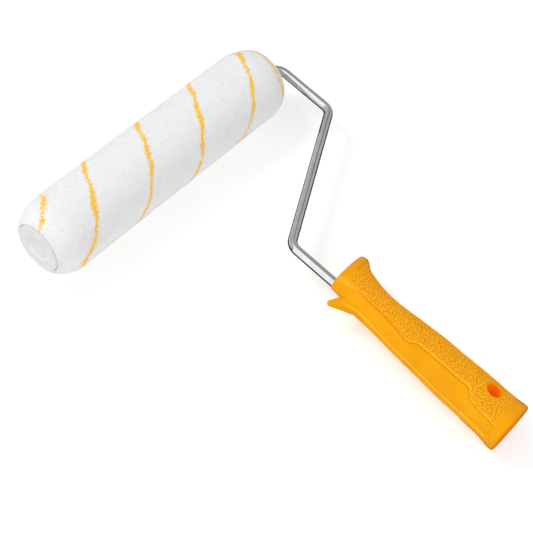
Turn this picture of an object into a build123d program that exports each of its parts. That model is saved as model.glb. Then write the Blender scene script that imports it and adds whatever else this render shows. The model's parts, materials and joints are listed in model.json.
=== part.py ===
"""Nine inch paint roller: a fleece cover on a wire cage that spins on a bent rod with a moulded handle.

Design frame: the roller turns about X, the bent rod lies in the XY plane and the handle points to -Y.
At the end everything is tipped by a small angle and moved, so that the tool lies on the plane Z = 0
on its cover and on the heel of its handle, with the origin under the middle of its box.
"""

from build123d import *

import math
import os

# Roller cover
CORE_LENGTH = 228.6
CORE_BORE_R = 18.8
CORE_OUTER_R = 20.5
NAP_R = 29.0
NAP_LENGTH = 232.6
NAP_END_ROUNDING = 21.4
NAP_END_R = 18.4

# Wire cage and its two caps
CAP_R = 18.5
CAP_SKIRT_WALL = 1.5
CAP_SKIRT_LENGTH = 12.8
CAP_DISC = 3.0
CAP_HUB_R = 7.5
CAP_HUB_LENGTH = 20.5
CAP_PROUD = 0.5
NUT_WELL_R = 9.0
NUT_WELL_DEPTH = 6.3
NUT_WELL_WALL = 2.0
DISH_R = 10.4
DISH_DEPTH = 1.2
STOP_FLANGE_R = 20.0
STOP_FLANGE = 1.4
STOP_FLANGE_GAP = 0.3
WIRE_COUNT = 5
WIRE_R = 1.2
WIRE_SEAT_R = 15.6
WIRE_BOWED_R = 17.2
WIRE_END_COVER = 2.0
WIRE_SEAT_GAP = 0.15
LUG_R = 2.3
RIB_THICKNESS = 1.8
RIB_DEPTH = 9.5
DUST_CAP_THICKNESS = 1.6
DUST_CAP_DISH = 0.8

# Bent rod and what is fixed on it
ROD_R = 3.5
ROD_BEND_X = 130.7
ROD_KNEE_Y = -55.4
GRIP_ROD_X = 18.0
GRIP_KNEE_Y = -115.7
ELBOW_R = 11.0
KNEE_R = 9.5
RUNNING_GAP = 0.05
BEARING_R = 5.0
BEARING_LENGTH = 14.0
BEARING_FLANGE_R = 6.4
BEARING_FLANGE = 1.2
WASHER_R = 7.0
WASHER = 0.8
WASHER_GAP = 0.1
COLLAR_R = 6.0
COLLAR_LENGTH = 2.0
PUSH_NUT_R = 7.0
PUSH_NUT = 0.9
PUSH_NUT_SLIT = 1.8
PUSH_NUT_SLIT_WIDTH = 1.0
ROD_TIP_PAST_NUT = 1.2
TAIL_WIDTH = 10.0
TAIL_THICKNESS = 4.0
TAIL_LENGTH = 9.0

# Handle
HEAD_Y = -156.3
HANDLE_LENGTH = 157.6
ROD_IN_HANDLE = 100.4
HEAD_EDGE_R = 1.6
SOCKET_R = 9.6
SOCKET_DEPTH = 40.0
SOCKET_CHAMFER = 1.2
HANG_HOLE_FROM_BUTT = 24.3
HANG_HOLE_HALF_LENGTH = 5.7
HANG_HOLE_HALF_WIDTH = 4.6
HANG_HOLE_OFFSET = 4.0
# Each section: distance from the head, centre to the right of the rod, half width, half height
HANDLE_SECTIONS = [
    (0.0, 13.4, 17.7, 9.2),
    (5.0, 13.8, 18.1, 10.6),
    (7.5, 13.0, 17.5, 11.4),
    (10.4, 11.4, 16.3, 12.0),
    (17.4, 8.8, 15.3, 12.9),
    (28.4, 6.6, 14.3, 13.7),
    (44.4, 5.6, 14.2, 14.2),
    (62.4, 5.3, 15.6, 15.8),
    (82.4, 5.6, 17.1, 17.3),
    (106.4, 4.9, 17.8, 18.1),
    (132.4, 4.7, 18.0, 18.6),
    (149.0, 4.2, 18.8, 19.2),
    (154.6, 4.1, 19.4, 19.8),
    (157.6, 4.1, 18.7, 19.2),
]
BUTT_EDGE_R = 1.7
HOOK_ROOT = (-1.0, 22.2)
HOOK_TIP = (-14.5, 9.2)
HOOK_ROOT_R = 8.1
HOOK_TIP_R = 2.4

BASE_AT_ORIGIN = (Align.CENTER, Align.CENTER, Align.MIN)
CAP_FACE_X = NAP_LENGTH / 2 + CAP_PROUD
OUTER_BEARING_X = -CAP_FACE_X + NUT_WELL_DEPTH
INNER_CAP_X = CORE_LENGTH / 2 + STOP_FLANGE_GAP + STOP_FLANGE
BUTT_Y = HEAD_Y - HANDLE_LENGTH
HANG_HOLE_Y = BUTT_Y + HANG_HOLE_FROM_BUTT


def rod_along_x(start, end, radius):
    """A round bar on the X axis from start to end."""
    bar = Cylinder(radius, end - start, align=BASE_AT_ORIGIN)
    return Pos(start, 0, 0) * Rot(0, 90, 0) * bar


def tube_along_x(start, end, inner, outer):
    return rod_along_x(start, end, outer) - rod_along_x(start, end, inner)


def around_axis(shape, count):
    """Copies of a shape, evenly spaced about the X axis."""
    return [Rot(360 / count * i, 0, 0) * shape for i in range(count)]


def core_tube():
    return tube_along_x(-CORE_LENGTH / 2, CORE_LENGTH / 2, CORE_BORE_R, CORE_OUTER_R)


def nap_cover():
    """The fleece sleeve: straight in the middle, with an elliptical shoulder at each end."""
    half = NAP_LENGTH / 2
    shoulder_x = half - NAP_END_ROUNDING
    rise = NAP_R - NAP_END_R
    right = EllipticalCenterArc((shoulder_x, NAP_END_R), NAP_END_ROUNDING, rise, 0, arc_size=90)
    left = EllipticalCenterArc((-shoulder_x, NAP_END_R), NAP_END_ROUNDING, rise, 90, arc_size=90)
    outline = [
        Line((half, 0), (half, NAP_END_R)),
        right,
        Line((shoulder_x, NAP_R), (-shoulder_x, NAP_R)),
        left,
        Line((-half, NAP_END_R), (-half, 0)),
        Line((-half, 0), (half, 0)),
    ]
    filled = revolve(make_face(outline), Axis.X)
    return filled - rod_along_x(-half, half, CORE_OUTER_R)


def cage_wire(index):
    """One sprung wire, bowed outwards to grip the bore of the cover."""
    start = -CAP_FACE_X + WIRE_END_COVER
    end = INNER_CAP_X - WIRE_END_COVER
    bow = ThreePointArc((start, WIRE_SEAT_R), ((start + end) / 2, WIRE_BOWED_R), (end, WIRE_SEAT_R))
    section = Plane(bow @ 0, z_dir=bow % 0) * Circle(WIRE_R)
    return Rot(360 / WIRE_COUNT * index, 0, 0) * sweep(section, bow)


def flanged_bearing(flange_x, inward):
    """A bush that starts with its flange at flange_x and runs inward, +1 or -1 along X."""
    bush = rod_along_x(0, BEARING_LENGTH, BEARING_R) + rod_along_x(0, BEARING_FLANGE, BEARING_FLANGE_R)
    bush -= rod_along_x(0, BEARING_LENGTH, ROD_R + RUNNING_GAP)
    return place_on_axis(bush, flange_x, inward)


def place_on_axis(shape, x, inward):
    """Puts a shape that is built from X = 0 towards +X at x, pointing inward."""
    turned = shape if inward > 0 else Rot(0, 180, 0) * shape
    return Pos(x, 0, 0) * turned


def cap_blank():
    """What both caps share: disc, skirt, bearing hub, ribs and wire seats, from X = 0 inwards."""
    blank = rod_along_x(0, CAP_DISC, CAP_R)
    blank += tube_along_x(0, CAP_SKIRT_LENGTH, CAP_R - CAP_SKIRT_WALL, CAP_R)
    blank += rod_along_x(0, CAP_HUB_LENGTH, CAP_HUB_R)
    lug = Pos(0, WIRE_SEAT_R, 0) * rod_along_x(0, CAP_SKIRT_LENGTH, LUG_R)
    rib_size = (RIB_DEPTH, WIRE_SEAT_R, RIB_THICKNESS)
    rib = Box(*rib_size, align=(Align.MIN, Align.MIN, Align.CENTER))
    for piece in (lug, rib):
        blank += around_axis(piece, WIRE_COUNT)
    seat = rod_along_x(WIRE_END_COVER - WIRE_SEAT_GAP, CAP_SKIRT_LENGTH, WIRE_R + 2 * WIRE_SEAT_GAP)
    return blank - around_axis(Pos(0, WIRE_SEAT_R + WIRE_SEAT_GAP, 0) * seat, WIRE_COUNT)


def outer_cage_cap(bearing):
    """The cap at the free end, with a well for the push nut and a shallow dish around it."""
    cap = cap_blank() + rod_along_x(0, NUT_WELL_DEPTH + NUT_WELL_WALL, NUT_WELL_R + NUT_WELL_WALL)
    cap -= rod_along_x(0, NUT_WELL_DEPTH, NUT_WELL_R)
    cap -= rod_along_x(0, CAP_HUB_LENGTH, BEARING_R - 1)
    cap -= Rot(0, 90, 0) * Cone(DISH_R, NUT_WELL_R, DISH_DEPTH, align=BASE_AT_ORIGIN)
    rim = cap.edges().filter_by(GeomType.CIRCLE).group_by(Axis.X)[0].sort_by(SortBy.RADIUS)[-1]
    cap = fillet(rim, 0.5)
    return place_on_axis(cap, -CAP_FACE_X, 1) - filled_bearing(bearing)


def inner_cage_cap(bearing):
    """The cap at the rod end, with a flange that stops the cover."""
    cap = cap_blank() + rod_along_x(0, STOP_FLANGE, STOP_FLANGE_R)
    cap -= rod_along_x(0, CAP_HUB_LENGTH, BEARING_R - 1)
    return place_on_axis(cap, INNER_CAP_X, -1) - filled_bearing(bearing)


def filled_bearing(bearing):
    """The bearing with its bore closed, which cuts its own seat."""
    box = bearing.bounding_box()
    return bearing + rod_along_x(box.min.X, box.max.X, ROD_R + RUNNING_GAP)


def dust_cap():
    """The snap-in disc over the push nut, dished on its outer face."""
    start = -CAP_FACE_X + DISH_DEPTH
    disc = rod_along_x(start, start + DUST_CAP_THICKNESS, NUT_WELL_R)
    ball_r = (NUT_WELL_R**2 + DUST_CAP_DISH**2) / (2 * DUST_CAP_DISH)
    return disc - Pos(start + DUST_CAP_DISH - ball_r, 0, 0) * Sphere(ball_r)


def washer(start):
    return tube_along_x(start, start + WASHER, ROD_R + RUNNING_GAP, WASHER_R)


def push_nut(start):
    """A spring steel nut whose four tongues bite on the rod."""
    nut = tube_along_x(start, start + PUSH_NUT, ROD_R, PUSH_NUT_R)
    slit_size = (PUSH_NUT, ROD_R + PUSH_NUT_SLIT, PUSH_NUT_SLIT_WIDTH)
    slit = Pos(start, 0, 0) * Box(*slit_size, align=(Align.MIN, Align.MIN, Align.CENTER))
    return nut - around_axis(slit, 4)


def frame_rod():
    """The bent rod, from its tip inside the outer cap to its flattened tail in the handle."""
    tip_x = OUTER_BEARING_X - WASHER_GAP - WASHER - PUSH_NUT - ROD_TIP_PAST_NUT
    tail_y = HEAD_Y - ROD_IN_HANDLE
    corners = [
        (tip_x, 0),
        (ROD_BEND_X, 0),
        (ROD_BEND_X, ROD_KNEE_Y),
        (GRIP_ROD_X, GRIP_KNEE_Y),
        (GRIP_ROD_X, tail_y),
    ]
    path = FilletPolyline(*corners, radius=[ELBOW_R, KNEE_R, KNEE_R])
    rod = sweep(Plane(path @ 0, z_dir=path % 0) * Circle(ROD_R), path)
    tail = Pos(GRIP_ROD_X, tail_y, 0) * Box(TAIL_WIDTH, TAIL_LENGTH, TAIL_THICKNESS)
    tail = fillet(tail.edges().filter_by(Axis.Z), 2.0)
    tip = rod.edges().filter_by(GeomType.CIRCLE).group_by(Axis.X)[0]
    return chamfer(tip, 0.8) + tail


def handle_section(distance, centre, half_width, half_height):
    origin = (GRIP_ROD_X + centre, HEAD_Y - distance, 0)
    return Plane(origin, x_dir=(1, 0, 0), z_dir=(0, -1, 0)) * Ellipse(half_width, half_height)


def handle_hook():
    """The claw beside the head, which hangs the tool on the rim of a tray."""
    root = Vector(GRIP_ROD_X + HOOK_ROOT[0], HEAD_Y - HOOK_ROOT[1], 0)
    tip = Vector(GRIP_ROD_X + HOOK_TIP[0], HEAD_Y - HOOK_TIP[1], 0)
    along = Plane(root, z_dir=tip - root)
    claw = along * Cone(HOOK_ROOT_R, HOOK_TIP_R, (tip - root).length, align=BASE_AT_ORIGIN)
    return claw + Pos(tip) * Sphere(HOOK_TIP_R)


def pole_socket():
    mouth = Plane((GRIP_ROD_X + HANDLE_SECTIONS[-1][1], BUTT_Y, 0), z_dir=(0, 1, 0))
    bore = Cylinder(SOCKET_R, SOCKET_DEPTH, align=BASE_AT_ORIGIN)
    lead = Cone(SOCKET_R + SOCKET_CHAMFER, SOCKET_R, SOCKET_CHAMFER, align=BASE_AT_ORIGIN)
    return mouth * (bore + lead)


def handle(rod):
    """The grip: a lofted body moulded on the rod, with hook, hanging hole and pole socket."""
    grip = loft([handle_section(*section) for section in HANDLE_SECTIONS])
    grip = fillet(grip.edges().group_by(Axis.Y)[-1], HEAD_EDGE_R)
    grip = fillet(grip.edges().group_by(Axis.Y)[0], BUTT_EDGE_R)
    grip += handle_hook()
    hole_x = GRIP_ROD_X + HANDLE_SECTIONS[-2][1] + HANG_HOLE_OFFSET
    hole = Ellipse(HANG_HOLE_HALF_WIDTH, HANG_HOLE_HALF_LENGTH)
    grip -= Pos(hole_x, HANG_HOLE_Y, 0) * extrude(hole, 2 * NAP_R, both=True)
    return grip - pole_socket() - rod


def build_nodes():
    """Every separate piece by name, in the design frame."""
    outer_bearing = flanged_bearing(OUTER_BEARING_X, 1)
    inner_bearing = flanged_bearing(INNER_CAP_X, -1)
    rod = frame_rod()
    outer_washer_x = OUTER_BEARING_X - WASHER_GAP - WASHER
    inner_washer_x = INNER_CAP_X + WASHER_GAP
    nodes = {
        "nap_cover": nap_cover(),
        "core_tube": core_tube(),
        "outer_cage_cap": outer_cage_cap(outer_bearing),
        "inner_cage_cap": inner_cage_cap(inner_bearing),
        "outer_bearing": outer_bearing,
        "inner_bearing": inner_bearing,
        "dust_cap": dust_cap(),
        "frame_rod": rod,
        "outer_thrust_washer": washer(outer_washer_x),
        "inner_thrust_washer": washer(inner_washer_x),
        "push_nut": push_nut(outer_washer_x - PUSH_NUT),
        "stop_collar": tube_along_x(
            inner_washer_x + WASHER, inner_washer_x + WASHER + COLLAR_LENGTH, ROD_R, COLLAR_R
        ),
        "handle": handle(rod),
    }
    for i in range(WIRE_COUNT):
        nodes[f"cage_wire_{i + 1}"] = cage_wire(i)
    return nodes


def lie_angle():
    """How far the tool tips about the roller axis until the heel of the handle meets the ground."""
    heel = HANDLE_SECTIONS[-1][3]
    reach = math.hypot(BUTT_Y, heel)
    return math.degrees(math.asin(NAP_R / reach) - math.atan2(heel, -BUTT_Y))


def main():
    os.makedirs("parts", exist_ok=True)
    nodes = build_nodes()
    tipped = {name: Rot(lie_angle(), 0, 0) * shape for name, shape in nodes.items()}
    boxes = [shape.bounding_box() for shape in tipped.values()]
    middle_x = (min(box.min.X for box in boxes) + max(box.max.X for box in boxes)) / 2
    middle_y = (min(box.min.Y for box in boxes) + max(box.max.Y for box in boxes)) / 2
    ground = Pos(-middle_x, -middle_y, NAP_R)
    print("tipped by", lie_angle(), "then moved by", -middle_x, -middle_y, NAP_R)
    for name, shape in tipped.items():
        export_step(ground * shape, f"parts/{name}.step")


if __name__ == "__main__":
    main()
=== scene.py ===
"""The looks of a paint roller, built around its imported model: fleece, moulded grip, plated rod and studio."""

import json
import math

import bmesh
import bpy
import numpy as np
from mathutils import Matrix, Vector


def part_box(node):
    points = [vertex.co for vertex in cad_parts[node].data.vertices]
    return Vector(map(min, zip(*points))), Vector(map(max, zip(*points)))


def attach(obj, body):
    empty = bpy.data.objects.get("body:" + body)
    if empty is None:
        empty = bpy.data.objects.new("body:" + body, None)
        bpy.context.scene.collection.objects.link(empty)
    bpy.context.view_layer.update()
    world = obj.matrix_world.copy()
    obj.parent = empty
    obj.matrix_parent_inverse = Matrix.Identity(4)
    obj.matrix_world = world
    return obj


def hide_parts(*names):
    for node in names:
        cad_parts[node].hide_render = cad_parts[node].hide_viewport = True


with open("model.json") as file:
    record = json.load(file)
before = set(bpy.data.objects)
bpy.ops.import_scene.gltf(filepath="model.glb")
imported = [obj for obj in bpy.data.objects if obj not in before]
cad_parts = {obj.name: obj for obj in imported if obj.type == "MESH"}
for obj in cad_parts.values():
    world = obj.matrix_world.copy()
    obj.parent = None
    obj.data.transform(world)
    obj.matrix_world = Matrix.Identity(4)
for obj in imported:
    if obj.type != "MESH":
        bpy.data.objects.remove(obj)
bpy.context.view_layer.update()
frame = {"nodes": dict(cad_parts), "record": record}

MM = 0.001
rng = np.random.default_rng(7)

# Fleece sleeve, in millimetres from the roller's axis and middle. Its left end is free, and the rod is at the right
PILE_BASE_R = 28.65
PILE_TOP_R = 29.0
PILE_GRID = 0.76
PILE_LUMP = 0.13
PILE_GRAIN = 0.09
END_AXIAL = 21.4
END_FULLNESS = 0.64
END_BULGE = 0.5
END_BULGE_TOWARDS = math.radians(205)
MOUTH_R = 18.85
ROD_END_FULLNESS = 0.7
ROD_END_MOUTH_R = 20.4
MOUTH_DEPTH = 0.8
MOUTH_TURN_IN = 1.4
MOUTH_CALM = 0.3
PROFILE_STEPS = 600
SEAT_R = 20.55
SEAT_LENGTH = 1.5
PILE_LUMPS = ((9.0, 0.35), (3.4, 0.45), (1.7, 0.5))
PILE_JITTER = 0.2

# Loose pile ends, in millimetres: how deep they are rooted, how far they lean over and rise, and how thick they are
FIBRE_PIECES = 3
FIBRES_PER_PIECE = 18000
FIBRE_ROOT_DEPTH = 0.4
FIBRE_REACH = (0.5, 1.0)
FIBRE_RISE = (0.6, 0.8)
FIBRE_MIDDLE_RISE = 0.45
FIBRE_MIDDLE_REACH = 0.3
FIBRE_WIDTH = (0.07, 0.12)

# Two yellow yarns wound round the sleeve and drawn out of line at both ends, in millimetres, and in degrees from the
# side of +Y over the top. Each wander has its size, its waves round the sleeve and its length along it.
YARN_PITCH = 106.0
YARN_STARTS = 2
YARN_PHASE = 11.0
YARN_HALF_WIDTH = 1.7
ROD_END_STRETCH_FROM = 100.8
ROD_END_STRETCH = 27.9
ROD_END_STRETCH_SPAN = 10.2
ROD_END_YARN_STOP = 113.4
FREE_END_STRETCH_FROM = 87.0
FREE_END_STRETCH = 0.4
FREE_END_SHIFT = 17.9
FREE_END_SHIFT_SPAN = (84, 96)
FRONT_FROM = (-60, 10)
STRETCH_UNTIL = (200, 178)
SHIFT_UNTIL = (112, 86)
YARN_WANDERS = ((0.6, 3, 19), (0.35, 7, -11), (0.2, 13, 7))
OFF_YARN = 20.0

# Handle, in millimetres
HANDLE_LENGTH = 157.6
HANDLE_VOXEL = 0.62
SOCKET_DEPTH = 35.0
SOCKET_FROM_ROD = 4.1
SOCKET_WALL_R = 11.5
SOCKET_START = 112.4
ROD_MOUTH_R = 5.0
HOLE_FROM_HEAD = 133.3
HOLE_FROM_ROD = 8.1
HOLE_HALF_LENGTH = 5.7
HOLE_HALF_WIDTH = 4.6
# Distance from the head, centre to the right of the rod, half width, half height
HANDLE_SECTIONS = np.array([
    (0.0, 13.4, 17.7, 9.2),
    (5.0, 13.8, 18.1, 10.6),
    (7.5, 13.0, 17.5, 11.4),
    (10.4, 11.4, 16.3, 12.0),
    (17.4, 8.8, 15.3, 12.9),
    (28.4, 6.6, 14.3, 13.7),
    (44.4, 5.6, 14.2, 14.2),
    (62.4, 5.3, 15.6, 15.8),
    (82.4, 5.6, 17.1, 17.3),
    (106.4, 4.9, 17.8, 18.1),
    (132.4, 4.7, 18.0, 18.6),
    (149.0, 4.2, 18.8, 19.2),
    (154.6, 4.1, 19.4, 19.8),
    (157.6, 4.1, 18.7, 19.2),
])
# Edges of the pebbled pad and the ridge down the hook side: distance from the head, degrees from the top
PAD_HOOK_EDGE = np.array([
    (7.9, -52), (16.0, -42), (22.4, -30), (44.4, -28), (54.4, -33), (66.4, -40), (68.9, -39),
    (73.4, -27.5), (97.4, -25), (119.4, -24.5), (125.9, -43), (130.4, -45), (147.4, -49),
])
PAD_FAR_EDGE = np.array([(22.4, 66), (60.4, 62), (72.4, 46), (100.4, 46), (118.4, 58), (147.4, 62)])
PANEL_RIDGE = np.array([(32.4, -74), (44.4, -77), (95.4, -81), (145.4, -84)])
# Where the pad and the panels beside it start, fade and end, and how far the panels are sunk
PAD_START = 7.9
PAD_END = 147.4
PAD_EDGE = (0.2, 0.9)
HEAD_PAD_SOFTNESS = 4
HEAD_PAD_FADE = (30, 20)
PANEL_DEPTH = 0.8
PANEL_FADE = (12, 30)
PANEL_END = 2.5
FAR_PANEL_END = 84
FAR_PANEL_ARC = 0.28
STEP_WIDTH = 0.6
# Lines of the mould: millimetres from the ridge's line, from the pad's hook edge or from the head, and their size
RIDGE_AT = -0.6
RIDGE_WIDTH = 0.6
RIDGE_HEIGHT = 0.4
CREASE_AT = -0.2
CREASE_WIDTH = 0.45
CREASE_DEPTH = 0.35
RIB_AT = 0.8
RIB_WIDTH = 0.4
RIB_HEIGHT = 0.3
RIB_START = (60, 74)
HEAD_GROOVE_AT = 6.6
HEAD_GROOVE_WIDTH = 0.8
HEAD_GROOVE_DEPTH = 0.25
HEAD_GROOVE_FADE = (-15, 20)
# Pebbles of the pad, in staggered rows, and the plain rim that they leave round the hanging hole
PEBBLE_PITCH = 1.9
PEBBLE_HEIGHT = 0.7
PEBBLE_ROWS = 0.87
PEBBLE_SCATTER = 0.28
HOLE_RIM = 1.3
HOLE_RIM_HEIGHT = 0.12
# How strongly the pebble hollows, the crease and the groove behind the head take a painted shade, and the butt's end
# a redder painted shade
PEBBLE_PAINTED_SHADE = 0.64
CREASE_PAINTED_SHADE = 0.9
HEAD_GROOVE_PAINTED_SHADE = 0.6
BUTT_PAINTED_SHADE = 0.6


# ---------------------------------------------------------------- places read from the frame

def mount(name):
    return next(m for m in frame["record"]["mounts"] if m["name"] == name)


nap_low, nap_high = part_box("nap_cover")
AXIS = (nap_low + nap_high) / 2
HALF_LENGTH = (nap_high.x - nap_low.x) / 2 / MM
socket = mount("pole_socket")
GRIP_DIRECTION = Vector(socket["axis"]).normalized()
GRIP_UP = Vector((1, 0, 0)).cross(-GRIP_DIRECTION).normalized()
GRIP_HEAD = Vector(socket["pos_m"]) + GRIP_DIRECTION * (SOCKET_DEPTH - HANDLE_LENGTH) * MM
GRIP_HEAD -= Vector((SOCKET_FROM_ROD * MM, 0, 0))


# ---------------------------------------------------------------- meshes

def new_object(name, vertices, faces, body):
    """A smooth piece from vertices in metres, which rides on a body."""
    mesh = bpy.data.meshes.new(name)
    mesh.from_pydata(vertices.tolist(), [], faces)
    mesh.update()
    mesh.polygons.foreach_set("use_smooth", [True] * len(mesh.polygons))
    piece = bpy.data.objects.new(name, mesh)
    bpy.context.scene.collection.objects.link(piece)
    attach(piece, body)
    return piece


def read_vectors(mesh, field):
    """The place ("co") or the normal ("normal") of every vertex."""
    flat = np.zeros(len(mesh.vertices) * 3, np.float32)
    mesh.vertices.foreach_get(field, flat)
    return flat.reshape(-1, 3).astype(float)


def mark_points(mesh, name, values):
    """Stores one number for every vertex, for a material to read."""
    mesh.attributes.new(name, "FLOAT", "POINT").data.foreach_set("value", values.astype(np.float32))


def smoothstep(value, low, high):
    """0 at low and 1 at high, which may lie below low."""
    t = np.clip((value - low) / (high - low), 0, 1)
    return t * t * (3 - 2 * t)


def lattice_noise(points, cell, seed):
    """Smooth value noise in three dimensions, from -1 to 1. Points and cell share one unit."""
    scaled = points / cell
    base = np.floor(scaled).astype(np.int64)
    part = scaled - base
    part = part * part * (3 - 2 * part)
    total = np.zeros(len(points))
    for corner in range(8):
        step = np.array([corner >> axis & 1 for axis in range(3)])
        cell_index = base + step
        hashed = cell_index @ np.array([73856093, 19349663, 83492791]) + seed * 1013904223
        hashed = (hashed ^ (hashed >> 13)) * 1274126177 & 0x7FFFFFFF
        value = (hashed ^ (hashed >> 11)) % 65521 / 65520 * 2 - 1
        total += value * np.prod(np.where(step, part, 1 - part), axis=1)
    return total


# ---------------------------------------------------------------- fleece sleeve

def end_profile(mouth_r, fullness):
    """Distance along the axis and radius, from inside the mouth of a left end to the inner edge of its shoulder."""
    share = np.linspace(1, 0, PROFILE_STEPS)
    mouth_x = -HALF_LENGTH + MOUTH_DEPTH
    shoulder_x = -(HALF_LENGTH - END_AXIAL) - END_AXIAL * share
    shoulder_r = mouth_r + (PILE_BASE_R - mouth_r) * (1 - share**2) ** fullness
    x = np.concatenate([[mouth_x + MOUTH_TURN_IN, mouth_x], shoulder_x])
    r = np.concatenate([[mouth_r, mouth_r - 0.1], shoulder_r])
    return x, r


def pile_profile():
    """Distance along the axis and radius of the sleeve, from one mouth over the outside to the other."""
    free_x, free_r = end_profile(MOUTH_R, END_FULLNESS)
    rod_x, rod_r = end_profile(ROD_END_MOUTH_R, ROD_END_FULLNESS)
    x = np.concatenate([free_x, -rod_x[::-1]])
    r = np.concatenate([free_r, rod_r[::-1]])
    length = np.concatenate([[0], np.cumsum(np.hypot(np.diff(x), np.diff(r)))])
    even = np.linspace(0, length[-1], int(length[-1] / PILE_GRID))
    return np.interp(even, length, x), np.interp(even, length, r)


def mouth_radius(x):
    return np.where(x > 0, ROD_END_MOUTH_R, MOUTH_R)


def profile_normals(x, r):
    """Outward normals of the profile, as axial and radial parts."""
    tangent_x, tangent_r = np.gradient(x), np.gradient(r)
    size = np.hypot(tangent_x, tangent_r)
    return -tangent_r / size, tangent_x / size


def on_roller(x, r, angle):
    """Points in metres from axial distance, radius and angle in radians from +Y over the top."""
    return np.stack([
        AXIS.x + x * MM,
        AXIS.y + r * np.cos(angle) * MM,
        AXIS.z + r * np.sin(angle) * MM,
    ], axis=-1)


def yarn_distance(x, angle):
    """Millimetres along the axis to the nearest yellow yarn, which wanders and turns steeper at the rod end."""
    past = np.clip(x - ROD_END_STRETCH_FROM, 0, None) / ROD_END_STRETCH_SPAN
    stretch = ROD_END_STRETCH * past**2
    slope = 2 * ROD_END_STRETCH * past / ROD_END_STRETCH_SPAN
    turn = (np.degrees(angle) + 90) % 360 - 90
    front = smoothstep(turn, *FRONT_FROM)
    pull = front * smoothstep(turn, *STRETCH_UNTIL)
    stretch += FREE_END_STRETCH * pull * np.clip(-x - FREE_END_STRETCH_FROM, 0, None)
    shift = smoothstep(-x, *FREE_END_SHIFT_SPAN) * front * smoothstep(turn, *SHIFT_UNTIL)
    stretch -= FREE_END_SHIFT * shift
    wander = sum(size * np.sin(waves * angle + x / length) for size, waves, length in YARN_WANDERS)
    along = x + stretch + YARN_PITCH * angle / (2 * math.pi) + wander
    spacing = YARN_PITCH / YARN_STARTS
    distance = np.abs((along - YARN_PHASE + spacing / 2) % spacing - spacing / 2)
    return distance / (1 + 0.5 * slope) + 2 * np.clip(x - ROD_END_YARN_STOP, 0, None)


def end_bulge(x, angle):
    """The shoulders are a little fuller on one side, in millimetres."""
    share = np.clip((np.abs(x) - HALF_LENGTH + END_AXIAL) / END_AXIAL, 0, 1)
    return END_BULGE * 4 * share * (1 - share) * np.cos(angle - END_BULGE_TOWARDS)


def pile_surface():
    """The sleeve's outer skin with its short, slightly lumpy pile, closed inside on the core."""
    x, r = pile_profile()
    axial, radial = profile_normals(x, r)
    columns = int(2 * math.pi * PILE_BASE_R / PILE_GRID)
    angle = np.arange(columns) * 2 * math.pi / columns
    rows = len(x)
    grid_x = np.repeat(x, columns)
    grid_r = np.repeat(r, columns)
    grid_angle = np.tile(angle, rows)
    grid_angle = grid_angle + np.repeat(np.arange(rows) % 2 * math.pi / columns, columns)
    places = np.stack([grid_x, grid_r * np.cos(grid_angle), grid_r * np.sin(grid_angle)], axis=-1)
    lumps = sum(lattice_noise(places, cell, seed) * share for seed, (cell, share) in enumerate(PILE_LUMPS, 1))
    grain = rng.uniform(-1, 1, len(places))
    rise = PILE_LUMP * lumps + PILE_GRAIN * grain + end_bulge(grid_x, grid_angle)
    inside = (np.abs(grid_x) > HALF_LENGTH - MOUTH_DEPTH - 1) & (grid_r < mouth_radius(grid_x) + 0.5)
    rise = np.where(inside, MOUTH_CALM * rise, rise)
    jitter = rng.uniform(-PILE_JITTER, PILE_JITTER, len(places)) * ~inside
    grid_x = grid_x + rise * np.repeat(axial, columns) + jitter
    grid_r = grid_r + rise * np.repeat(radial, columns)
    grid_r = np.minimum(grid_r, PILE_TOP_R)
    outer = on_roller(grid_x, grid_r, grid_angle)
    seat_x = np.array([x[-1], x[-1] - SEAT_LENGTH, x[0] + SEAT_LENGTH, x[0]])
    inner = on_roller(np.repeat(seat_x, columns), SEAT_R, np.tile(angle, len(seat_x)))
    vertices = np.concatenate([outer, inner])
    ring = np.arange(columns)
    following = (ring + 1) % columns
    faces = []
    total_rows = rows + len(seat_x)
    for row in range(total_rows):
        after = (row + 1) % total_rows
        a, b = row * columns + ring, row * columns + following
        c, d = after * columns + following, after * columns + ring
        faces.append(np.stack([a, d, c, b], axis=-1))
    faces = np.concatenate(faces).tolist()
    piece = new_object("nap_pile", vertices, faces, "cover")
    distance = yarn_distance(np.repeat(x, columns), np.tile(angle, rows))
    mark_points(piece.data, "yarn_distance", np.concatenate([distance, np.full(len(inner), OFF_YARN)]))
    return piece


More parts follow.
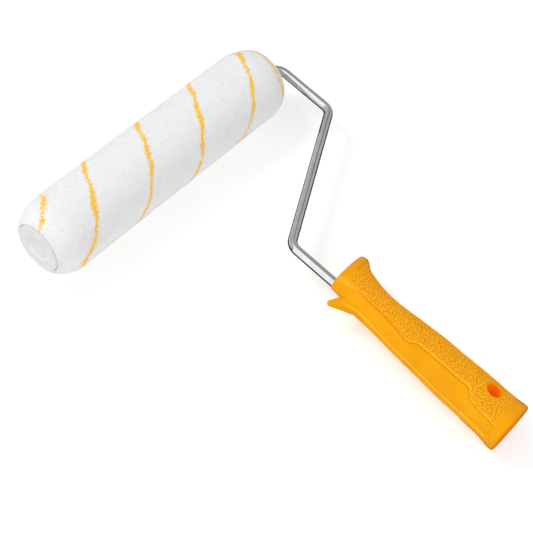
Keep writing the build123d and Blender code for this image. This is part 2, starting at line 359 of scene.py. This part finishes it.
def fibre_piece(name):
    """Short curved pile ends rooted in the sleeve; those on the yarns are yellow."""
    x, r = pile_profile()
    axial, radial = profile_normals(x, r)
    weight = np.where(r < mouth_radius(x) + 0.8, 0.0, r)
    pick = rng.choice(len(x), FIBRES_PER_PIECE, p=weight / weight.sum())
    angle = rng.uniform(-math.pi, math.pi, FIBRES_PER_PIECE)
    root_x = x[pick] + rng.uniform(-0.5, 0.5, FIBRES_PER_PIECE) * PILE_GRID
    normal = np.stack([axial[pick], radial[pick] * np.cos(angle), radial[pick] * np.sin(angle)], axis=-1)
    around = np.stack([np.zeros_like(angle), -np.sin(angle), np.cos(angle)], axis=-1)
    along = np.cross(around, normal)
    turn = rng.uniform(0, 2 * math.pi, FIBRES_PER_PIECE)
    lean = np.cos(turn)[:, None] * along + np.sin(turn)[:, None] * around
    side = np.cross(normal, lean)
    reach = rng.uniform(*FIBRE_REACH, FIBRES_PER_PIECE)[:, None]
    root = on_roller(root_x, r[pick] - FIBRE_ROOT_DEPTH, angle) / MM + normal * end_bulge(root_x, angle)[:, None]
    middle = root + normal * FIBRE_MIDDLE_RISE + lean * reach * FIBRE_MIDDLE_REACH
    tip = root + normal * rng.uniform(*FIBRE_RISE, FIBRES_PER_PIECE)[:, None] + lean * reach
    width = rng.uniform(*FIBRE_WIDTH, FIBRES_PER_PIECE)[:, None]
    rings = []
    for centre, share in ((root, 1.0), (middle, 0.8)):
        for corner in range(3):
            bend = 2 * math.pi * corner / 3
            rings.append(centre + share * width * (math.cos(bend) * side + math.sin(bend) * (normal + lean) * 0.7))
    points = np.stack([*rings, tip], axis=1).reshape(-1, 3) * MM
    shape = np.array([(0, 1, 4, 3), (1, 2, 5, 4), (2, 0, 3, 5)])
    cone = np.array([(3, 4, 6), (4, 5, 6), (5, 3, 6), (2, 1, 0)])
    first = np.arange(FIBRES_PER_PIECE)[:, None, None] * 7
    faces = (first + shape).reshape(-1, 4).tolist() + (first + cone).reshape(-1, 3).tolist()
    piece = new_object(name, points, faces, "cover")
    yellow = yarn_distance(root_x, angle) < YARN_HALF_WIDTH * rng.uniform(0.4, 1.5, FIBRES_PER_PIECE)
    tone = np.where(yellow, rng.integers(2, 4, FIBRES_PER_PIECE), rng.integers(0, 2, FIBRES_PER_PIECE))
    of_face = np.concatenate([np.repeat(tone, len(shape)), np.repeat(tone, len(cone))])
    for mat in fibre_materials:
        piece.data.materials.append(mat)
    piece.data.polygons.foreach_set("material_index", of_face.astype(np.int32))
    return piece


# ---------------------------------------------------------------- handle

def handle_places(points):
    """Distance from the head, sideways and upward distance from the rod, in millimetres."""
    offset = points / MM - np.array(GRIP_HEAD) / MM
    return offset @ np.array(GRIP_DIRECTION), offset[:, 0], offset @ np.array(GRIP_UP)


def section_angle(distance, sideways, upward):
    """Degrees from the top of the section, or from its underside, towards the far side."""
    centre = np.interp(distance, HANDLE_SECTIONS[:, 0], HANDLE_SECTIONS[:, 1])
    return np.degrees(np.arctan2(sideways - centre, np.abs(upward)))


def arc(distance, degrees):
    """Millimetres round the section for so many degrees."""
    half = np.interp(distance, HANDLE_SECTIONS[:, 0], HANDLE_SECTIONS[:, 3])
    return degrees * half * math.pi / 180


def inside_pad(distance, angle):
    """How far a point lies inside the pad's hook edge and its far edge, in millimetres; negative outside."""
    from_hook_edge = arc(distance, angle - np.interp(distance, *PAD_HOOK_EDGE.T))
    from_far_edge = arc(distance, np.interp(distance, *PAD_FAR_EDGE.T) - angle)
    return from_hook_edge, from_far_edge


def in_bores(distance, sideways, upward):
    """True at the rod's mouth and at the pole socket, which stay as they are packed."""
    by_socket = np.hypot(sideways - SOCKET_FROM_ROD, upward) < SOCKET_WALL_R
    return (np.hypot(sideways, upward) < ROD_MOUTH_R) | (by_socket & (distance > SOCKET_START))


def from_hole(distance, sideways):
    """Rough millimetres outside the hanging hole's edge."""
    along = (distance - HOLE_FROM_HEAD) / HOLE_HALF_LENGTH
    across = (sideways - HOLE_FROM_ROD) / HOLE_HALF_WIDTH
    return (np.hypot(along, across) - 1) * (HOLE_HALF_LENGTH + HOLE_HALF_WIDTH) / 2


def pebbles(distance, angle):
    """Rounded bumps in staggered, slightly irregular rows, from 0 to 1."""
    u = distance / PEBBLE_PITCH
    v = arc(distance, angle) / (PEBBLE_PITCH * PEBBLE_ROWS)
    best = np.full(len(u), 9.0)
    for row_step in (-1, 0, 1):
        row = np.floor(v) + row_step
        for cell_step in (-1, 0, 1):
            cell = np.floor(u - row % 2 * 0.5) + cell_step
            shake = np.sin(row * 12.9898 + cell * 78.233) * 43758.5453
            shake_u = (shake % 1 - 0.5) * PEBBLE_SCATTER
            shake_v = (shake * 7.13 % 1 - 0.5) * PEBBLE_SCATTER
            gap_u = u - (cell + 0.5 + row % 2 * 0.5 + shake_u)
            gap_v = (v - (row + 0.5 + shake_v)) * PEBBLE_ROWS
            best = np.minimum(best, np.hypot(gap_u, gap_v))
    return np.clip(1 - (best / 0.5) ** 2, 0, 1)


def bell(value, centre, width):
    """1 at the centre, and less on both sides."""
    return np.exp(-((value - centre) / width) ** 2)


def handle_relief(points):
    """Millimetres added to the handle's plain skin, and shares of painted shade in the hollows, painted highlight on
    crests and glint lines, and painted glow and shade in the hanging hole and at the butt, for its colours.
    """
    distance, sideways, upward = handle_places(points)
    angle = section_angle(distance, sideways, upward)
    hook_side, far_side = inside_pad(distance, angle)
    hole_gap = from_hole(distance, sideways)
    on_length = smoothstep(distance, *PANEL_FADE) * smoothstep(distance, PAD_END + PANEL_END, PAD_END)

    past_ridge = arc(distance, angle - np.interp(distance, *PANEL_RIDGE.T))
    panel = smoothstep(-hook_side, 0, STEP_WIDTH) * smoothstep(past_ridge, -0.1, 0.6)
    far_panel = smoothstep(-far_side, 0, STEP_WIDTH) * smoothstep((FAR_PANEL_END - angle) * FAR_PANEL_ARC, 0, 0.6)
    relief = -PANEL_DEPTH * np.maximum(panel, far_panel) * on_length
    relief += RIDGE_HEIGHT * bell(past_ridge, RIDGE_AT, RIDGE_WIDTH) * on_length

    softer_at_head = HEAD_PAD_SOFTNESS * smoothstep(distance, *HEAD_PAD_FADE)
    pad = smoothstep(far_side, *PAD_EDGE) * smoothstep(hook_side, PAD_EDGE[0], PAD_EDGE[1] + softer_at_head)
    pad *= smoothstep(distance, PAD_START, PAD_START + 1.2) * smoothstep(distance, PAD_END, PAD_END - 0.8)
    pad *= smoothstep(hole_gap, HOLE_RIM, HOLE_RIM + 0.6)
    bumps = pebbles(distance, angle)
    relief += PEBBLE_HEIGHT * pad * (bumps - 0.5)
    rim = smoothstep(hole_gap, HOLE_RIM + 0.4, HOLE_RIM - 0.2) * smoothstep(hole_gap, 0.05, 0.4)
    relief += HOLE_RIM_HEIGHT * rim

    crease = bell(hook_side, CREASE_AT, CREASE_WIDTH) * on_length
    rib_start = smoothstep(distance, *RIB_START)
    head_groove = bell(distance, HEAD_GROOVE_AT, HEAD_GROOVE_WIDTH) * smoothstep(angle, *HEAD_GROOVE_FADE)
    head_groove *= np.abs(upward) > 3
    relief += RIB_HEIGHT * bell(hook_side, RIB_AT, RIB_WIDTH) * on_length * rib_start
    relief -= CREASE_DEPTH * crease + HEAD_GROOVE_DEPTH * head_groove
    relief = np.where(in_bores(distance, sideways, upward) | (hole_gap < 0.05), 0, relief)

    # Painted shade: a darker orange in the pebble hollows, the crease and the groove behind the head
    groove_shade = np.maximum(CREASE_PAINTED_SHADE * crease, HEAD_GROOVE_PAINTED_SHADE * head_groove)
    painted_shade = np.maximum(PEBBLE_PAINTED_SHADE * pad * smoothstep(bumps, 0.5, 0.0), groove_shade)
    # Painted highlight: a lighter yellow on the pebble tops and along the rib and the ridge
    glint = np.maximum(bell(hook_side, RIB_AT, 0.45) * rib_start, bell(past_ridge, RIDGE_AT, 0.5)) * on_length
    painted_highlight = np.maximum(pad * smoothstep(bumps, 0.55, 0.95), glint)
    # Painted shade on the butt's rounded end, and a painted glow with a redder painted shade inside the hanging hole
    butt = smoothstep(distance, HANDLE_LENGTH - 2.0, HANDLE_LENGTH - 1.2)
    hole_glow_and_butt_shade = np.maximum(smoothstep(hole_gap, 0.25, -0.05) * (distance > 100), BUTT_PAINTED_SHADE * butt)
    return relief, {"painted_shade": painted_shade, "painted_highlight": painted_highlight, "hole_glow_and_butt_shade": hole_glow_and_butt_shade}


def shaped_handle():
    """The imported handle's own shape, remeshed evenly, finer on the pads, with its relief."""
    source = frame["nodes"]["handle"].copy()
    source.data = source.data.copy()
    source.parent = None
    bpy.context.scene.collection.objects.link(source)
    remesh = source.modifiers.new("even", "REMESH")
    remesh.mode = "VOXEL"
    remesh.voxel_size = HANDLE_VOXEL * MM
    mesh = bpy.data.meshes.new_from_object(source.evaluated_get(bpy.context.evaluated_depsgraph_get()))
    bpy.data.objects.remove(source)
    mesh.name = "grip"
    refine_pads(mesh)
    points = read_vectors(mesh, "co")
    relief, shares = handle_relief(points)
    points += read_vectors(mesh, "normal") * relief[:, None] * MM
    mesh.vertices.foreach_set("co", points.astype(np.float32).ravel())
    for name, values in shares.items():
        mark_points(mesh, name, values)
    mesh.materials.clear()
    mesh.polygons.foreach_set("use_smooth", [True] * len(mesh.polygons))
    mesh.update()
    piece = bpy.data.objects.new("grip", mesh)
    bpy.context.scene.collection.objects.link(piece)
    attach(piece, "frame")
    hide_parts("handle")
    return piece


def refine_pads(mesh):
    """Halves the faces of the pads, so that their pebbles are round."""
    distance, sideways, upward = handle_places(read_vectors(mesh, "co"))
    hook_side, far_side = inside_pad(distance, section_angle(distance, sideways, upward))
    chosen = (np.minimum(hook_side, far_side) > -1.0) & (distance > PAD_START - 1) & (distance < PAD_END + 1.5)
    chosen &= ~in_bores(distance, sideways, upward) & (from_hole(distance, sideways) > 0.5)
    work = bmesh.new()
    work.from_mesh(mesh)
    work.verts.ensure_lookup_table()
    edges = [e for e in work.edges if chosen[e.verts[0].index] and chosen[e.verts[1].index]]
    bmesh.ops.subdivide_edges(work, edges=edges, cuts=1, use_grid_fill=True)
    bmesh.ops.triangulate(work, faces=[f for f in work.faces if len(f.verts) > 4])
    work.to_mesh(mesh)
    work.free()


# ---------------------------------------------------------------- materials

def add_node(tree, kind, **settings):
    node = tree.nodes.new(kind)
    for key, value in settings.items():
        setattr(node, key, value)
    return node


def plug(tree, source, node, socket_name):
    tree.links.new(source, node.inputs[socket_name])


def new_material(name, colour, roughness, metallic=0.0, **sockets):
    """A Principled material with its even values set on the shader's own sockets."""
    mat = bpy.data.materials.new(name)
    mat.use_nodes = True
    shader = mat.node_tree.nodes["Principled BSDF"]
    shader.inputs["Base Color"].default_value = (*colour, 1)
    shader.inputs["Roughness"].default_value = roughness
    shader.inputs["Metallic"].default_value = metallic
    for key, value in sockets.items():
        shader.inputs[key.replace("_", " ")].default_value = value
    return mat, mat.node_tree, shader


def object_position(tree):
    return add_node(tree, "ShaderNodeTexCoord").outputs["Object"]


def noise_field(tree, feature_mm, detail=2.0, stretch=None):
    """Noise whose features are about that many millimetres across."""
    node = add_node(tree, "ShaderNodeTexNoise")
    node.inputs["Scale"].default_value = 1000 / feature_mm
    node.inputs["Detail"].default_value = detail
    vector = object_position(tree)
    if stretch:
        mapping = add_node(tree, "ShaderNodeMapping")
        mapping.inputs["Scale"].default_value = stretch
        plug(tree, vector, mapping, "Vector")
        vector = mapping.outputs["Vector"]
    plug(tree, vector, node, "Vector")
    return node.outputs["Fac"]


def spread(tree, value, low, high, to_low, to_high):
    node = add_node(tree, "ShaderNodeMapRange", interpolation_type="SMOOTHSTEP")
    for key, number in (("From Min", low), ("From Max", high), ("To Min", to_low), ("To Max", to_high)):
        node.inputs[key].default_value = number
    plug(tree, value, node, "Value")
    return node.outputs["Result"]


def mixed(tree, factor, first, second):
    """Two colours mixed by a factor. Each is a tuple or a socket."""
    node = add_node(tree, "ShaderNodeMix", data_type="RGBA")
    plug(tree, factor, node, "Factor")
    for index, colour in ((6, first), (7, second)):
        if isinstance(colour, tuple):
            node.inputs[index].default_value = (*colour, 1)
        else:
            tree.links.new(colour, node.inputs[index])
    return node.outputs[2]


def mottled(tree, feature_mm, detail, first, second, low=0.3, high=0.7):
    """Two colours in soft patches about that many millimetres across."""
    return mixed(tree, spread(tree, noise_field(tree, feature_mm, detail), low, high, 0, 1), first, second)


def calculate(tree, operation, first, second):
    """Arithmetic on two values. Each is a number or a socket."""
    node = add_node(tree, "ShaderNodeMath", operation=operation)
    for index, value in enumerate((first, second)):
        if isinstance(value, (int, float)):
            node.inputs[index].default_value = value
        else:
            tree.links.new(value, node.inputs[index])
    return node.outputs[0]


def bump(tree, shader, height, depth_mm, strength):
    node = add_node(tree, "ShaderNodeBump")
    node.inputs["Strength"].default_value = strength
    node.inputs["Distance"].default_value = depth_mm * MM
    plug(tree, height, node, "Height")
    plug(tree, node.outputs["Normal"], shader, "Normal")


def vary_roughness(tree, shader, feature_mm, detail, low, high, stretch=None):
    field = noise_field(tree, feature_mm, detail, stretch)
    plug(tree, spread(tree, field, 0.3, 0.7, low, high), shader, "Roughness")


FLEECE_WHITE = (0.88, 0.885, 0.89)
FLEECE_SHADE = (0.83, 0.835, 0.845)
YARN_YELLOW = (1.0, 0.62, 0.035)
YARN_DEEP = (0.95, 0.45, 0.01)
YARN_RAGGED = 11.0
YARN_UNEVEN = 4.0
GRIP_PLAIN = ((0.79, 0.33, 0.002), (0.83, 0.375, 0.003))
# Painted colours on the grip: shade in hollows, highlights on crests, a redder glow and shade in the hole and at the
# butt, and a faint glow all over
GRIP_PAINTED_SHADE = (0.72, 0.17, 0.0005)
GRIP_PAINTED_HIGHLIGHT = (1.0, 0.58, 0.03)
GRIP_HOLE_GLOW_AND_BUTT_SHADE = (0.85, 0.2, 0.0005)
GRIP_GLOW = (1.0, 0.2, 0.0005, 1.0)
GRIP_GLOW_STRENGTH = (0.04, 0.27)


def fleece_material():
    """White pile with two speckled yellow yarns."""
    mat, tree, shader = new_material(
        "fleece", FLEECE_WHITE, 1.0, Sheen_Weight=0.25, Sheen_Roughness=0.6, Specular_IOR_Level=0.1)
    white = mottled(tree, 1.1, 3, FLEECE_SHADE, FLEECE_WHITE, low=0.35)
    yellow = mottled(tree, 0.9, 3, YARN_YELLOW, YARN_DEEP, low=0.45)
    distance = add_node(tree, "ShaderNodeAttribute", attribute_name="yarn_distance").outputs["Fac"]
    ragged = calculate(tree, "MULTIPLY", calculate(tree, "SUBTRACT", noise_field(tree, 1.0, 4), 0.5), YARN_RAGGED)
    thick = calculate(tree, "MULTIPLY", calculate(tree, "SUBTRACT", noise_field(tree, 14, 1), 0.5), YARN_UNEVEN)
    edge = calculate(tree, "ADD", calculate(tree, "ADD", distance, ragged), thick)
    on_yarn = spread(tree, edge, YARN_HALF_WIDTH + 0.25, YARN_HALF_WIDTH - 0.25, 0, 1)
    plug(tree, mixed(tree, on_yarn, white, yellow), shader, "Base Color")
    bump(tree, shader, noise_field(tree, 0.5, 3), 0.25, 0.6)
    return mat


def fibre_material(name, colour):
    mat, _, _ = new_material(name, colour, 1.0, Sheen_Weight=0.2, Sheen_Roughness=0.6, Specular_IOR_Level=0.1)
    return mat


def grip_material():
    """Satin orange-yellow plastic with the fine grain of its mould, with painted shade in its hollows and painted
    highlights on its crests. It glows a little all over and more in the hanging hole, a painted glow as if it were
    translucent.
    """
    mat, tree, shader = new_material(
        "grip_plastic", (0.82, 0.36, 0.002), 0.34, Specular_IOR_Level=0.28, Specular_Tint=(1.0, 0.66, 0.2, 1.0),
        Subsurface_Weight=0.1, Subsurface_Radius=(0.0018, 0.0006, 0.0001), Subsurface_Scale=1.0,
        Emission_Color=GRIP_GLOW)
    plain = mottled(tree, 22, 3, *GRIP_PLAIN)
    painted_shade, painted_highlight, hole_glow_and_butt_shade = (
        add_node(tree, "ShaderNodeAttribute", attribute_name=name).outputs["Fac"]
        for name in ("painted_shade", "painted_highlight", "hole_glow_and_butt_shade"))
    # Painted shade in the hollows, then painted highlights on the crests, then the hole's painted glow and the butt's
    # painted shade
    with_painted_light = mixed(tree, painted_shade, plain, GRIP_PAINTED_SHADE)
    with_painted_light = mixed(tree, painted_highlight, with_painted_light, GRIP_PAINTED_HIGHLIGHT)
    plug(tree, mixed(tree, hole_glow_and_butt_shade, with_painted_light, GRIP_HOLE_GLOW_AND_BUTT_SHADE), shader, "Base Color")
    # A painted glow: faint all over the grip, stronger inside the hanging hole
    plug(tree, spread(tree, hole_glow_and_butt_shade, 0.7, 1, *GRIP_GLOW_STRENGTH), shader, "Emission Strength")
    vary_roughness(tree, shader, 6, 4, 0.24, 0.34)
    bump(tree, shader, noise_field(tree, 0.35, 2), 0.02, 0.5)
    return mat


def plated_material():
    """Bright zinc plate with slight clouding."""
    mat, tree, shader = new_material("plated_rod", (0.66, 0.67, 0.68), 0.14, 1.0)
    plug(tree, mottled(tree, 7, 3, (0.62, 0.63, 0.65), (0.72, 0.72, 0.72)), shader, "Base Color")
    vary_roughness(tree, shader, 2.5, 3, 0.08, 0.12)
    bump(tree, shader, noise_field(tree, 0.8, 3), 0.002, 0.3)
    return mat


def steel_material(name, colour, grain):
    """Plain steel, whose grain is stretched by those factors."""
    mat, tree, shader = new_material(name, colour, 0.3, 1.0)
    dark = tuple(0.8 * c for c in colour)
    plug(tree, mottled(tree, 2, 3, dark, colour), shader, "Base Color")
    vary_roughness(tree, shader, 0.8, 2, 0.22, 0.42, grain)
    bump(tree, shader, noise_field(tree, 0.3, 2, grain), 0.01, 0.5)
    return mat


def plastic_material(name, colour, roughness, grain_mm=0.5):
    """Matt moulded plastic with a fine grain."""
    mat, tree, shader = new_material(name, colour, roughness)
    dark = tuple(0.93 * c for c in colour)
    plug(tree, mottled(tree, 9, 3, dark, colour), shader, "Base Color")
    vary_roughness(tree, shader, 3, 3, roughness - 0.06, roughness + 0.06)
    bump(tree, shader, noise_field(tree, grain_mm, 2), 0.02, 0.4)
    return mat


def dress(node, mat):
    """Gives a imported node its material."""
    for item in frame["nodes"][node].material_slots:
        item.link = "OBJECT"
        item.material = mat


# ---------------------------------------------------------------- studio

CAMERA_PLACE = (-0.5121, -0.23297, 0.86544)
CAMERA_TURN = (32.5284, -9.1912, -48.2157)
CAMERA_LENS = 97.73
SKY_BELOW = 0.08
SKY_FLAG = 0.26
SKY_ABOVE = 0.66
SKY_PANEL = 1.5
SKY_STRENGTH = 0.86
# Edges of the panel, the flag and the horizon, as parts of the direction: where each starts to fade in or out
PANEL_Y = ((-0.05, 0.03), (0.42, 0.5))
PANEL_X_END = (0.1, 0.2)
PANEL_Z_START = (-0.5, -0.4)
FLAG_X = ((0.48, 0.55), (0.70, 0.77))
FLAG_Z_START = (0.2, 0.3)
HORIZON = (-0.03, 0.05)
# Softboxes: direction from the tool, distance and size in metres, watts
KEY = ((-0.35, 0.7, 0.9), 1.4, 0.35, 6)
FILL = ((-0.3, -0.9, 0.8), 1.6, 1.2, 5.8)
FLOOR_HALF_SIZE = 3.0


def make_camera():
    data = bpy.data.cameras.new("camera")
    data.lens = CAMERA_LENS
    data.sensor_width = 36
    camera = bpy.data.objects.new("camera", data)
    camera.location = CAMERA_PLACE
    camera.rotation_euler = [math.radians(v) for v in CAMERA_TURN]
    bpy.context.scene.collection.objects.link(camera)
    bpy.context.scene.camera = camera


def softbox(name, direction, distance, size, power):
    """A square area light that points at the middle of the tool."""
    data = bpy.data.lights.new(name, "AREA")
    data.shape = "SQUARE"
    data.size = size
    data.energy = power
    light = bpy.data.objects.new(name, data)
    towards = Vector(direction).normalized()
    light.location = towards * distance
    light.rotation_mode = "QUATERNION"
    light.rotation_quaternion = towards.to_track_quat("Z", "Y")
    bpy.context.scene.collection.objects.link(light)
    return light


def make_floor():
    """Pale paper, partly emissive, which the metal doesn't mirror."""
    size = FLOOR_HALF_SIZE
    corners = [(-size, -size, 0), (size, -size, 0), (size, size, 0), (-size, size, 0)]
    mesh = bpy.data.meshes.new("floor")
    mesh.from_pydata(corners, [], [(0, 1, 2, 3)])
    floor = bpy.data.objects.new("floor", mesh)
    bpy.context.scene.collection.objects.link(floor)
    mat, _, _ = new_material(
        "floor_paper", (0.6, 0.6, 0.6), 0.9, Specular_IOR_Level=0.0, Emission_Color=(1, 1, 1, 1),
        Emission_Strength=0.5)
    mesh.materials.append(mat)
    floor.visible_glossy = False


def between(tree, value, start, end):
    """1 between two soft edges, and 0 outside them."""
    return calculate(tree, "MULTIPLY", spread(tree, value, *start, 0, 1), spread(tree, value, *end, 1, 0))


def make_world():
    """Even grey surroundings with one long bright panel and a dark flag beside it, which draw lines on metal."""
    world = bpy.data.worlds.new("studio")
    bpy.context.scene.world = world
    world.use_nodes = True
    tree = world.node_tree
    background = tree.nodes["Background"]
    split = add_node(tree, "ShaderNodeSeparateXYZ")
    plug(tree, add_node(tree, "ShaderNodeTexCoord").outputs["Generated"], split, "Vector")
    x, y, z = (split.outputs[axis] for axis in "XYZ")
    strip = between(tree, y, *PANEL_Y)
    panel = calculate(tree, "MULTIPLY", strip, spread(tree, x, *PANEL_X_END, 1, 0))
    panel = calculate(tree, "MULTIPLY", panel, spread(tree, z, *PANEL_Z_START, 0, 1))
    flag = between(tree, x, *FLAG_X)
    flag = calculate(tree, "MULTIPLY", flag, calculate(tree, "MULTIPLY", strip, spread(tree, z, *FLAG_Z_START, 0, 1)))
    sky = spread(tree, z, *HORIZON, SKY_BELOW, SKY_ABOVE)
    sky = calculate(tree, "SUBTRACT", sky, calculate(tree, "MULTIPLY", flag, SKY_ABOVE - SKY_FLAG))
    sky = calculate(tree, "MAXIMUM", sky, calculate(tree, "MULTIPLY", panel, SKY_PANEL))
    plug(tree, sky, background, "Color")
    background.inputs["Strength"].default_value = SKY_STRENGTH


def keep_off(light, node):
    """The light doesn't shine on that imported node, whose mirror finish would only show a burnt-out square."""
    skipped = bpy.data.collections.new(light.name + "_skips")
    skipped.objects.link(frame["nodes"][node])
    light.light_linking.receiver_collection = skipped
    skipped.collection_objects[0].light_linking.link_state = "EXCLUDE"


def make_studio():
    scene = bpy.context.scene
    scene.view_settings.view_transform = "Standard"
    make_camera()
    make_floor()
    make_world()
    keep_off(softbox("key", *KEY), "frame_rod")
    keep_off(softbox("fill", *FILL), "frame_rod")


# ---------------------------------------------------------------- assembly

fleece = fleece_material()
fibre_materials = [
    fibre_material("pile_white", (0.87, 0.875, 0.88)),
    fibre_material("pile_cream", (0.82, 0.825, 0.83)),
    fibre_material("pile_yellow", YARN_YELLOW),
    fibre_material("pile_orange", (1.0, 0.53, 0.02)),
]
make_studio()

pile = pile_surface()
pile.data.materials.append(fleece)
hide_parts("nap_cover")
for number in range(FIBRE_PIECES):
    fibre_piece(f"nap_fibres_{number + 1}")

grip = shaped_handle()
grip.data.materials.append(grip_material())

cap_plastic = plastic_material("cap_plastic", (0.78, 0.785, 0.785), 0.6)
bearing_plastic = plastic_material("bearing_plastic", (0.8, 0.79, 0.74), 0.35)
core_plastic = plastic_material("core_plastic", (0.7, 0.7, 0.67), 0.55, 1.2)
plated = plated_material()
wire_steel = steel_material("wire_steel", (0.55, 0.56, 0.58), (0.08, 1, 1))
nut_steel = steel_material("nut_steel", (0.5, 0.51, 0.53), (1, 1, 1))
for node in frame["nodes"]:
    if node.startswith("cage_wire"):
        dress(node, wire_steel)
for node in ("outer_cage_cap", "inner_cage_cap", "dust_cap"):
    dress(node, cap_plastic)
for node in ("outer_bearing", "inner_bearing"):
    dress(node, bearing_plastic)
for node in ("outer_thrust_washer", "inner_thrust_washer", "push_nut", "stop_collar"):
    dress(node, nut_steel)
dress("core_tube", core_plastic)
dress("frame_rod", plated)
